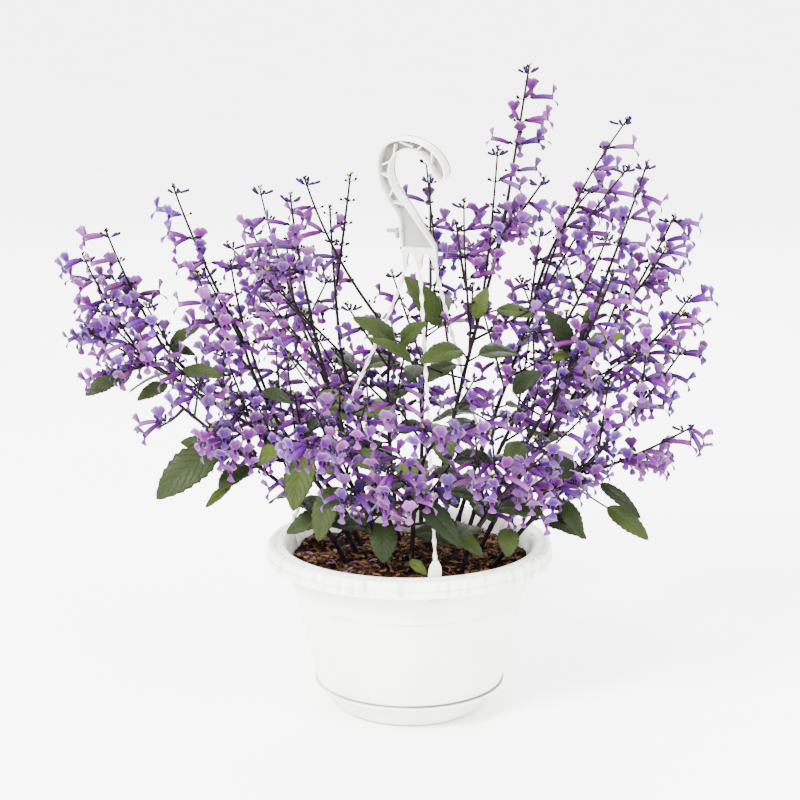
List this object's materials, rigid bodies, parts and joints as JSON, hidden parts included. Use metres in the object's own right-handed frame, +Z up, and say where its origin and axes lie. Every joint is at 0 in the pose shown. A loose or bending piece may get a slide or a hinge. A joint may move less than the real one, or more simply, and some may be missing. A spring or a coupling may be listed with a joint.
{
  "type": "potted mona lavender plectranthus",
  "caption": "Flowering plectranthus with toothed leaves and open lavender flower sprays, in a tapered plastic pot with a clip-on saucer, bark mix and a one-piece plastic hanger.",
  "frame": {"origin": "centre of the saucer's flat underside, on the surface that the pot stands on", "axes": "+Z up through the pot's axis; -Y towards the side where one strand of the hanger hangs down in front; +X to the right seen from there"},
  "size_m": [0.5519, 0.4223, 0.5601],
  "materials": {
    "pot_plastic": "satin white, moulded",
    "saucer_plastic": "satin white, moulded",
    "hanger_plastic": "satin off-white, moulded",
    "bark_mix": "rough, damp shredded bark",
    "stem_and_leaf": "semi-matt green leaves on dark purple stems",
    "flower_spray": "soft satin petals on near-black axes"
  },
  "bodies": {
    "root": {"saucer": "saucer_plastic", "pot": "pot_plastic", "hanger": "hanger_plastic", "potting_mix": "bark_mix", "leafy_stem_1": "stem_and_leaf", "leafy_stem_10": "stem_and_leaf", "leafy_stem_11": "stem_and_leaf", "leafy_stem_12": "stem_and_leaf", "leafy_stem_13": "stem_and_leaf", "leafy_stem_14": "stem_and_leaf", "leafy_stem_15": "stem_and_leaf", "leafy_stem_16": "stem_and_leaf", "leafy_stem_17": "stem_and_leaf", "leafy_stem_2": "stem_and_leaf", "leafy_stem_3": "stem_and_leaf", "leafy_stem_4": "stem_and_leaf", "leafy_stem_5": "stem_and_leaf", "leafy_stem_6": "stem_and_leaf", "leafy_stem_6b": "stem_and_leaf", "leafy_stem_7": "stem_and_leaf", "leafy_stem_8": "stem_and_leaf", "leafy_stem_9": "stem_and_leaf", "flower_spray_01": "flower_spray", "flower_spray_02": "flower_spray", "flower_spray_03": "flower_spray", "flower_spray_04": "flower_spray", "flower_spray_05": "flower_spray", "flower_spray_06": "flower_spray", "flower_spray_07": "flower_spray", "flower_spray_08": "flower_spray", "flower_spray_09": "flower_spray", "flower_spray_10": "flower_spray", "flower_spray_11": "flower_spray", "flower_spray_12": "flower_spray", "flower_spray_13": "flower_spray", "flower_spray_14": "flower_spray", "flower_spray_15": "flower_spray", "flower_spray_16": "flower_spray", "flower_spray_17": "flower_spray", "flower_spray_18": "flower_spray", "flower_spray_19": "flower_spray", "flower_spray_20": "flower_spray", "flower_spray_21": "flower_spray", "flower_spray_22": "flower_spray", "flower_spray_23": "flower_spray", "flower_spray_24": "flower_spray", "flower_spray_25": "flower_spray", "flower_spray_26": "flower_spray", "flower_spray_27": "flower_spray", "flower_spray_28": "flower_spray", "flower_spray_29": "flower_spray", "flower_spray_30": "flower_spray", "flower_spray_31": "flower_spray", "flower_spray_32": "flower_spray", "flower_spray_33": "flower_spray", "flower_spray_34": "flower_spray", "flower_spray_35": "flower_spray", "flower_spray_36": "flower_spray", "flower_spray_37": "flower_spray", "flower_spray_38": "flower_spray"}
  },
  "joints": []
}
